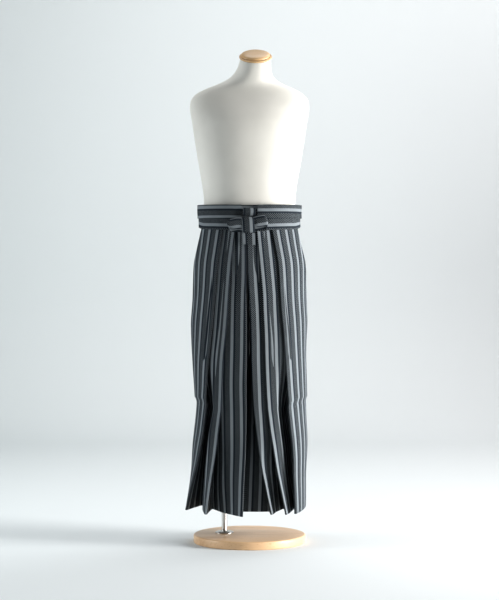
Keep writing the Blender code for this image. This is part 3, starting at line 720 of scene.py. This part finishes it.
# --------------------------------------------------------------------------------------------
# The left front panel: the same cut as the right one, mirrored.  Its first fold tucks in
# under the right panel's at the waist, and the two part below to show the centre cloth.

FRONT_LEFT = (
    ("end", ((WAIST, 0.0006, 0.1161), (TIED, 0.0006, 0.1161), (0.90, 0.0006, 0.1290),
             (0.80, 0.0006, 0.112), (CROTCH, 0.0006, 0.012), (CREASE, -0.008, 0.048),
             (0.27, -0.020, 0.076), (HEM, -0.030, 0.088)), None),
    ("fold", ((WAIST, 0.024, VALLEY), (0.90, 0.030, VALLEY), (CROTCH, 0.036, 0.014),
              (CREASE, 0.041, 0.034), (0.27, 0.050, 0.056), (HEM, 0.062, 0.070)), FRONT),
    ("fold", ((WAIST, -0.0085, EDGE), (0.90, -0.0070, EDGE), (0.757, 0.002, EDGE),
              (CROTCH, 0.0065, EDGE), (CREASE, 0.0130, EDGE), (0.36, 0.0220, EDGE),
              (0.27, 0.0340, 0.004), (HEM, 0.0690, 0.028)), FRONT),
    ("bend", ((WAIST, 0.022, UNDER), (0.90, 0.031, UNDER), (CROTCH, 0.044, UNDER),
              (CREASE, 0.050, UNDER), (0.36, 0.060, 0.010), (0.27, 0.068, 0.026),
              (HEM, 0.083, 0.064)), FRONT),
    ("fold", ((WAIST, 0.044, VALLEY), (CROTCH, 0.076, VALLEY), (CREASE, 0.082, 0.012),
              (0.36, 0.086, 0.040), (0.27, 0.092, 0.066), (HEM, 0.108, 0.102)), FRONT),
    ("fold", ((WAIST, 0.018, EDGE), (0.90, 0.0315, EDGE), (0.80, 0.042, EDGE),
              (CROTCH, 0.048, EDGE), (CREASE, 0.055, EDGE), (0.36, 0.066, EDGE),
              (0.27, 0.081, 0.004), (HEM, 0.115, 0.022)), FRONT),
    ("bend", ((WAIST, 0.061, UNDER), (0.90, 0.083, UNDER), (CROTCH, 0.092, UNDER),
              (CREASE, 0.085, 0.008), (0.36, 0.095, 0.012), (0.27, 0.110, 0.028),
              (HEM, 0.1325, 0.062)), FRONT),
    ("fold", ((WAIST, 0.088, VALLEY), (CROTCH, 0.134, VALLEY), (CREASE, 0.110, 0.070),
              (0.36, 0.118, 0.085), (0.27, 0.128, 0.095), (HEM, 0.1465, 0.100)), FRONT),
    ("fold", ((WAIST, 0.065, EDGE), (0.90, 0.090, EDGE), (CROTCH, 0.113, EDGE),
              (CREASE, 0.123, EDGE), (0.36, 0.130, EDGE), (0.27, 0.139, 0.004),
              (HEM, 0.1447, 0.026)), FRONT),
    ("end", ((WAIST, 0.146, 0.053), (0.90, 0.178, 0.035), (VENT_FOOT, 0.188, 0.000),
             (CROTCH, 0.182, 0.000), (CREASE, 0.183, 0.000), (0.27, 0.184, -0.010),
             (HEM, 0.182, -0.030)), None),
)
front_left = panel(
    "front_left_panel", FRONT_LEFT, 1, -1, FRONT_CURLS, ((WAIST, 0.006), (HEM, 0.006)), (
        ((WAIST, 0.0120), (0.78, 0.0122), (0.50, 0.0144), (0.40, 0.0172), (0.34, 0.0198),
         (0.29, 0.0240), (0.25, 0.0285), (HEM, 0.0300)),
        ((WAIST, 0.0278), (HEM, 0.0285)),
        ((WAIST, 0.0164), (HEM, 0.0190))))
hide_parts("front_left")

# --------------------------------------------------------------------------------------------
# The back panels: each has one deep pleat that faces the centre seam and hangs in two soft
# flutes.  They are sewn to the stiff back board above, and to the fronts at the side seams.

BACK = ((WAIST, 0.160, 0.1180, 2.2), (TIED, 0.161, 0.1190, 2.2), (0.90, 0.182, 0.1340, 2.4),
        (VENT_FOOT, 0.194, 0.1400, 2.8), (CROTCH, 0.195, 0.1400, 3.0),
        (CREASE, 0.190, 0.1400, 3.0), (HEM, 0.225, 0.1460, 3.0))
BACK_CURLS = ((WAIST, 4.6, 7.0), (0.90, 4.0, 7.0), (CROTCH, 2.0, 7.0), (HEM, 2.0, 5.0))


def back_folds(inner_hem, side_low):
    """The fold lines of a back panel; side_low is where its side seam runs below the crotch."""
    return (
        ("end", ((WAIST, 0.0006, 0.1116), (TIED, 0.0006, 0.1130), (0.90, 0.0006, 0.1275),
                 (0.80, 0.0006, 0.105), (CROTCH, 0.0006, 0.008), (CREASE, 0.003, 0.045),
                 (HEM, inner_hem, 0.085)), None),
        ("fold", ((WAIST, 0.046, VALLEY), (CROTCH, 0.056, 0.012), (CREASE, 0.060, 0.022),
                  (HEM, 0.074, 0.045)), BACK),
        ("fold", ((WAIST, 0.006, EDGE), (CROTCH, 0.014, EDGE), (CREASE, 0.018, EDGE),
                  (HEM, 0.034, 0.004)), BACK),
        ("bend", ((WAIST, 0.070, 0.002), (CROTCH, 0.080, 0.006), (CREASE, 0.082, 0.010),
                  (HEM, 0.096, 0.030)), BACK),
        ("bend", ((WAIST, 0.090, 0.003), (CROTCH, 0.116, 0.002), (CREASE, 0.118, 0.000),
                  (HEM, 0.136, 0.004)), BACK),
        ("end", ((WAIST, 0.128, 0.0780), (0.90, 0.176, 0.030), (VENT_FOOT, 0.188, 0.0007),
                 (CROTCH, 0.182, 0.0007)) + side_low, None),
    )


BACK_RIGHT = back_folds(0.006, ((CREASE, 0.170, 0.0007), (0.27, 0.181, 0.0107),
                                (HEM, 0.192, 0.0227)))
BACK_LEFT = back_folds(0.004, ((CREASE, 0.183, 0.0007), (0.27, 0.184, 0.0107),
                               (HEM, 0.182, 0.0307)))
for name, node, lines, side in (("back_right_panel", "back_right", BACK_RIGHT, -1),
                                ("back_left_panel", "back_left", BACK_LEFT, 1)):
    back = panel(name, lines, side, 1, BACK_CURLS, ((WAIST, 0.008), (HEM, 0.008)),
                 (((WAIST, 0.0165), (HEM, 0.0185)),))
    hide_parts(node)

# --------------------------------------------------------------------------------------------
# The gussets: long wedges of the same cloth let in inside each leg, from the crotch to the
# hem, so that the legs stand apart.

for name, node, front_line, back_line, side in (
        ("gusset_right_sewn", "gusset_right", FRONT_RIGHT[0], BACK_RIGHT[0], -1),
        ("gusset_left_sewn", "gusset_left", FRONT_LEFT[0], BACK_LEFT[0], 1)):
    rows = []
    for height in np.linspace(CROTCH - 0.012, HEM, 50):
        front_out, front_fore = fold_place(front_line, height)
        back_out, back_fore = fold_place(back_line, height)
        row = []
        for share in np.linspace(0.0, 1.0, 17):
            out = front_out + 0.0008 + (back_out - front_out) * share
            y = (-front_fore + 0.0012) * (1 - share) + (back_fore - 0.0012) * share
            row.append(cloth_point(side * out, y, height))
        rows.append(row)
    gusset = cloth_sheet(name, rows, [(0, 16, 8, [0.015] * len(rows))])
    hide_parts(node)

# --------------------------------------------------------------------------------------------
# The front waistband and its ties: strips folded to 42 mm and sewn flat.  The band holds the
# tops of the front panels; its ties go round the back and cross again below it in front.

TIE_WIDTH = 0.042
TIE_CLOTH = 0.0016


def waist_point(turn, offset):
    """A point of the waist loop; turn is 0 in front, 0.5 behind, and rises to the +X side."""
    depth_front, depth_back = 0.1225 + offset, 0.1180 + offset
    return oval(turn % 1.0, 0.160 + offset, depth_front, depth_back, 2.2)


def tie_strip(name, stops, steps, thickness, start, ripple=0.0004):
    """A flat strip round the waist through stops (turn, offset, lower edge, upper edge).

    start is the stripes' place at its upper edge.
    """
    turns = np.linspace(stops[0][0], stops[-1][0], steps + 1)
    columns = list(zip(*stops))
    rows = []
    across = 10
    for step in range(across + 1):
        row = []
        for turn in turns:
            offset, low, high = (float(np.interp(turn, columns[0], c)) for c in columns[1:])
            share = 1 - step / across
            swell = ripple * math.sin(2 * math.pi * (2.3 * turn * 10 + share))
            x, y = waist_point(turn, offset + swell)
            row.append((x, y, low + (high - low) * share))
        rows.append(row)
    return cloth_sheet(name, rows, [(0, steps, 0, 0.0)], True, thickness, start)


band_low = WAIST + 0.0006
band_high = band_low + TIE_WIDTH
CORNER = 0.1935          # the turn at which the waistband ends
waistband = tie_strip("front_waistband_sewn", (
    (-CORNER, -0.0030, band_low, band_high), (CORNER, -0.0030, band_low, band_high)),
    60, 0.0022, 0.0268, 0.0002)
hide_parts("front_waistband")
upper_turn = tie_strip("front_tie_upper_turn_tied", (
    (CORNER + 0.0006, -0.0030, band_low, band_high),
    (0.40, -0.0060, band_low + 0.004, band_high + 0.004),
    (0.60, -0.0060, band_low + 0.004, band_high + 0.004),
    (1 - CORNER - 0.0006, -0.0030, band_low, band_high)), 90, TIE_CLOTH, 0.0268)
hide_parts("front_tie_upper_turn")
half_turn = ((0.0, 0.0026, 0.997), (0.17, 0.0045, 1.004), (0.21, 0.0060, 1.010),
             (0.26, 0.0005, 1.022), (0.34, -0.0010, 1.040), (0.499, -0.0028, 1.046))
turn_stops = [(-t, o, z, z + TIE_WIDTH) for t, o, z in reversed(half_turn[1:])]
turn_stops += [(t, o, z, z + TIE_WIDTH) for t, o, z in half_turn]
lower_turn = tie_strip("front_tie_lower_turn_tied", turn_stops, 160, TIE_CLOTH, 0.0088)
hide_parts("front_tie_lower_turn")

# --------------------------------------------------------------------------------------------
# The back board: a stiff board cut to a trapezoid and covered with the same cloth.  The back
# panels hang from its lower edge, and the back ties are sewn to its lower corners.

BOARD_DOWN, BOARD_HALF = 24, 30   # steps down the board, and from its middle to a side
board_rows = []
for step in range(BOARD_DOWN + 1):
    share = 1 - step / BOARD_DOWN
    level = WAIST + 0.0006 + 0.0754 * share
    half_width = 0.123 - 0.039 * share ** 0.9
    row = []
    for column in range(2 * BOARD_HALF + 1):
        turn = 0.5 + half_width * (column / BOARD_HALF - 1)
        row.append((*waist_point(turn, 0.0026 + 0.004 * share), level))
    board_rows.append(row)
board = cloth_sheet("back_board_covered", board_rows,
                    [(0, 2 * BOARD_HALF, BOARD_HALF, [0.005] * len(board_rows))], False, 0.0038)
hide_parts("back_board")

# --------------------------------------------------------------------------------------------
# The back ties: sewn to the corners of the board, they come forward over the other turns to
# the knot.

for side, name, node, start in ((1, "back_tie_left_tied", "back_tie_left", 0.0186),
                                (-1, "back_tie_right_tied", "back_tie_right", 0.0272)):
    stops = [(turn, offset, low, low + TIE_WIDTH) for turn, offset, low in (
        (0.020, 0.0056, 1.037), (0.17, 0.0078, 1.040), (0.22, 0.0085, 1.041),
        (0.30, 0.0040, 1.043), (0.345, 0.0060, 1.041), (0.370, 0.0086, 1.040),
        (0.400, 0.0086, 1.039))]
    if side < 0:
        stops = [(-turn, *rest) for turn, *rest in reversed(stops)]
    tie = tie_strip(name, stops, 80, TIE_CLOTH, start)
    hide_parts(node)

# --------------------------------------------------------------------------------------------
# The cross knot, tied flat in front: a strap down over the ties, a bow across below it, a
# wrap round the bow's middle, and one end hanging from under the wrap.

KNOT_FACE = -0.1310      # the front of the ties, on which the knot lies


def knot_strap(name, node, rows, start, thickness=TIE_CLOTH):
    """A strip of the knot through rows that run along it, the first one its upper edge."""
    columns = len(rows[0]) - 1
    piece = cloth_sheet(name, rows, [(0, columns, 0, 0.0)], True, thickness, start)
    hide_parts(node)


ACROSS, ALONG = 16, 14   # steps across a strip of the knot, and along a short one


def soft_step(value_now, low, high):
    """0 below low and 1 above high, with an eased rise between them."""
    share = min(max((value_now - low) / (high - low), 0.0), 1.0)
    return share * share * (3 - 2 * share)


strap_rows = []
for step in range(ACROSS + 1):
    share = step / ACROSS
    row = []
    for number in range(ALONG + 1):
        along = number / ALONG
        lift = 0.0012 * math.sin(math.pi * share) ** 0.6
        lift += 0.0030 * math.sin(math.pi * along) ** 0.6
        row.append((-0.0200 + 0.0386 * share + 0.0010 * math.sin(4 * along),
                    KNOT_FACE - 0.0008 - lift, 1.0682 - 0.0250 * along))
    strap_rows.append(row)
knot_strap("knot_strap_tied", "knot_upper", strap_rows, 0.0085,
           0.0024)

LOOP_STEPS = 60
FACE_SHARE, TIP_SHARE = 0.40, 0.20   # of a loop's length: each of its two faces, and its tip


def loop_rows(side, reach, slant, top, drop, round_tip, foot):
    """A bow loop: out along its bulging face, round the tip and back flat behind.

    reach is how far out the tip lies, slant how much farther its lower corner; top is the
    height of its upper edge, drop how far that edge falls to the tip, round_tip how far the
    tip's corners draw in, and foot the lower edge of the layer behind.
    """
    inner, tip = 0.004, 0.0042
    rows = []
    for step in range(ACROSS + 1):
        share = step / ACROSS
        arch = math.sin(math.pi * share) ** 0.75
        row = []
        for number in range(LOOP_STEPS + 1):
            along = number / LOOP_STEPS
            run = reach - tip - inner
            if along < FACE_SHARE:
                away, angle = inner + run * along / FACE_SHARE, -math.pi / 2
            elif along < 1.0 - FACE_SHARE:
                away, angle = reach - tip, math.pi * ((along - FACE_SHARE) / TIP_SHARE - 0.5)
            else:
                away, angle = inner + run * (1.0 - along) / FACE_SHARE, math.pi / 2
            behind = soft_step(along, 0.46, 0.66)
            bulge = (0.0068 - 0.0060 * behind) * arch * (0.45 + 0.55 * soft_step(away, 0.0, 0.030))
            out = away + tip * math.cos(angle) + (bulge * 0.8 - round_tip * (1 - arch)) * max(
                math.cos(angle), 0.0) + slant * share * soft_step(away, 0.030, reach)
            deep = KNOT_FACE - 0.0068 + tip * math.sin(angle) - bulge * (1.0 - 1.3 * behind)
            deep += 0.0012 * behind
            pinch = 1.0 - soft_step(away, 0.0, 0.034)
            falling = soft_step(away, 0.55 * reach, reach + 0.004)
            upper = top - drop * falling - 0.0055 * pinch - 0.0040 * behind
            lower = (top - 0.0345 + 0.0050 * falling) * (1 - behind) + foot * behind
            lower += 0.0040 * pinch
            row.append((side * out, deep, upper + (lower - upper) * share))
        rows.append(row)
    return rows


knot_strap("bow_left_loop_tied", "bow_left_loop",
           loop_rows(-1, 0.0640, 0.0010, 1.0370, 0.0060, 0.0050, 0.9925), 0.0060)
knot_strap("bow_right_loop_tied", "bow_right_loop",
           loop_rows(1, 0.0470, 0.0100, 1.0425, -0.0030, 0.0010, 0.9950), 0.0060)

WRAP_STEPS = 32
wrap_rows = []
for step in range(ACROSS + 1):
    share = step / ACROSS
    row = []
    for number in range(WRAP_STEPS + 1):
        angle = math.radians(-105 + 210 * number / WRAP_STEPS)
        along = number / WRAP_STEPS
        lift = 0.0026 * math.sin(math.pi * share) ** 0.5
        across = (0.0405 - 0.0030 * math.sin(math.pi * along)) * (share - 0.5)
        row.append((-0.0035 + across + 0.0050 * (along - 0.5),
                    KNOT_FACE - 0.0095 - (0.0082 + lift) * math.cos(angle),
                    1.0150 - (0.0215 + lift) * math.sin(angle)))
    wrap_rows.append(row)
knot_strap("knot_wrap_tied", "knot_wrap", wrap_rows, 0.0075,
           0.0018)

tail_rows = []
for step in range(ACROSS + 1):
    share = step / ACROSS
    lift = 0.0008 * math.sin(math.pi * share)
    tail_rows.append([(-0.0235 + 0.0420 * share + 0.0015 * number / ALONG,
                       KNOT_FACE - 0.0016 - 0.0062 * number / ALONG - lift,
                       0.9890 - (0.0350 + 0.0020 * share) * number / ALONG)
                      for number in range(ALONG + 1)])
knot_strap("tie_tail_tied", "tie_tail", tail_rows, -0.0005)
